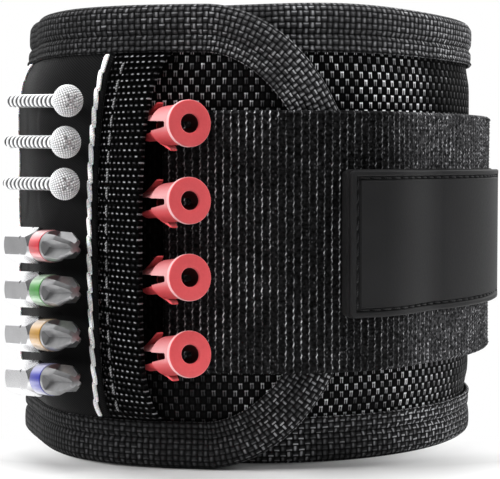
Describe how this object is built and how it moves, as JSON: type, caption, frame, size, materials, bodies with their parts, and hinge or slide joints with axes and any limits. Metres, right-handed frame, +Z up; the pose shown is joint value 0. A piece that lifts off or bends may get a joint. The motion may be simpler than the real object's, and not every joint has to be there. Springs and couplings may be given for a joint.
{
  "type": "magnetic wristband",
  "caption": "Padded wristband closed by a hook-and-loop strap with a rubber badge; a magnet panel and a side pocket hold screws, driver bits and wall plugs.",
  "frame": {"origin": "on the wrist axis, in the plane of the lower edge that the band stands on", "axes": "+Z up along the wrist axis; -Y to the front, where the flap, its pocket and the strap are; +X to the side that the strap wraps to"},
  "size_m": [0.1075, 0.1189, 0.09],
  "materials": {
    "lining": "knitted mesh, black",
    "foam": "closed-cell foam, black",
    "shell": "ballistic weave nylon, black, slight sheen",
    "binding": "woven binding tape, charcoal black",
    "panel": "fine twill, black, matt",
    "backing": "plain lining cloth, black",
    "magnet": "nickel plated",
    "thread": "white lockstitch thread",
    "elastic": "woven elastic tape, black",
    "strap": "ribbed webbing, black",
    "hook": "hook tape, black",
    "loop": "loop tape, black",
    "badge": "moulded rubber, dark grey, satin",
    "zinc": "bright zinc plated steel",
    "steel": "satin chrome plated steel",
    "sleeve_1": "red",
    "sleeve_2": "green",
    "sleeve_3": "amber",
    "sleeve_4": "blue",
    "plug": "red nylon"
  },
  "bodies": {
    "band": {"lining_root": "lining", "foam_core_root": "foam", "outer_shell_root": "shell", "binding_tape_root": "binding", "magnet_panel_rear": "panel", "magnet_rear_left_1": "magnet", "magnet_rear_left_2": "magnet", "magnet_rear_left_3": "magnet", "magnet_rear_left_4": "magnet", "magnet_rear_right_1": "magnet", "magnet_rear_right_2": "magnet", "magnet_rear_right_3": "magnet", "magnet_rear_right_4": "magnet", "thread_rear_right": "thread", "thread_rear_left": "thread", "loop_tape": "loop"},
    "flap": {"lining_flap": "lining", "foam_core_flap": "foam", "outer_shell_flap": "shell", "binding_tape_flap": "binding", "pocket_panel": "panel", "pocket_backing": "backing", "pocket_elastic": "elastic", "magnet_front_left_1": "magnet", "magnet_front_left_2": "magnet", "magnet_front_left_3": "magnet", "magnet_front_left_4": "magnet", "magnet_front_right_1": "magnet", "magnet_front_right_2": "magnet", "magnet_front_right_3": "magnet", "magnet_front_right_4": "magnet", "thread_pocket_right": "thread", "thread_pocket_left": "thread", "strap_root": "strap"},
    "strap": {"strap_free": "strap", "hook_tape": "hook", "rubber_badge": "badge"},
    "pull_tab": {"strap_pull_tab": "strap"},
    "screw_1": {"screw_1": "zinc"},
    "screw_2": {"screw_2": "zinc"},
    "screw_3": {"screw_3": "zinc"},
    "bit_1": {"bit_1": "steel", "bit_sleeve_1": "sleeve_1"},
    "bit_2": {"bit_2": "steel", "bit_sleeve_2": "sleeve_2"},
    "bit_3": {"bit_3": "steel", "bit_sleeve_3": "sleeve_3"},
    "bit_4": {"bit_4": "steel", "bit_sleeve_4": "sleeve_4"},
    "wall_plug_1": {"wall_plug_1": "plug"},
    "wall_plug_2": {"wall_plug_2": "plug"},
    "wall_plug_3": {"wall_plug_3": "plug"},
    "wall_plug_4": {"wall_plug_4": "plug"}
  },
  "joints": [
    {"name": "flap_fold", "type": "hinge", "parent": "band", "child": "flap", "pos_m": [-0.05129, -0.00858, 0.045], "axis": [0, 0, -1], "range_deg": [0, 75]},
    {"name": "strap_peel", "type": "hinge", "parent": "flap", "child": "strap", "pos_m": [0.01527, -0.05325, 0.0445], "axis": [0, 0, -1], "range_deg": [0, 80]},
    {"name": "tab_lift", "type": "hinge", "parent": "strap", "child": "pull_tab", "pos_m": [0.05181, -0.00444, 0.0445], "axis": [0, 0, -1], "range_deg": [0, 60]},
    {"name": "screw_1_off", "type": "slide", "parent": "flap", "child": "screw_1", "axis": [-0.8434, -0.5373, 0], "range_m": [0, 0.04]},
    {"name": "screw_2_off", "type": "slide", "parent": "flap", "child": "screw_2", "axis": [-0.8434, -0.5373, 0], "range_m": [0, 0.04]},
    {"name": "screw_3_off", "type": "slide", "parent": "flap", "child": "screw_3", "axis": [-0.8434, -0.5373, 0], "range_m": [0, 0.04]},
    {"name": "bit_1_off", "type": "slide", "parent": "flap", "child": "bit_1", "axis": [-0.8285, -0.5599, 0], "range_m": [0, 0.04]},
    {"name": "bit_2_off", "type": "slide", "parent": "flap", "child": "bit_2", "axis": [-0.8285, -0.5599, 0], "range_m": [0, 0.04]},
    {"name": "bit_3_off", "type": "slide", "parent": "flap", "child": "bit_3", "axis": [-0.8285, -0.5599, 0], "range_m": [0, 0.04]},
    {"name": "bit_4_off", "type": "slide", "parent": "flap", "child": "bit_4", "axis": [-0.8285, -0.5599, 0], "range_m": [0, 0.04]},
    {"name": "wall_plug_1_out", "type": "slide", "parent": "flap", "child": "wall_plug_1", "axis": [0.4845, -0.8741, 0.0349], "range_m": [0, 0.03]},
    {"name": "wall_plug_2_out", "type": "slide", "parent": "flap", "child": "wall_plug_2", "axis": [0.4835, -0.8723, 0.0732], "range_m": [0, 0.03]},
    {"name": "wall_plug_3_out", "type": "slide", "parent": "flap", "child": "wall_plug_3", "axis": [0.4818, -0.8692, 0.1115], "range_m": [0, 0.03]},
    {"name": "wall_plug_4_out", "type": "slide", "parent": "flap", "child": "wall_plug_4", "axis": [0.4794, -0.8648, 0.1495], "range_m": [0, 0.03]}
  ]
}
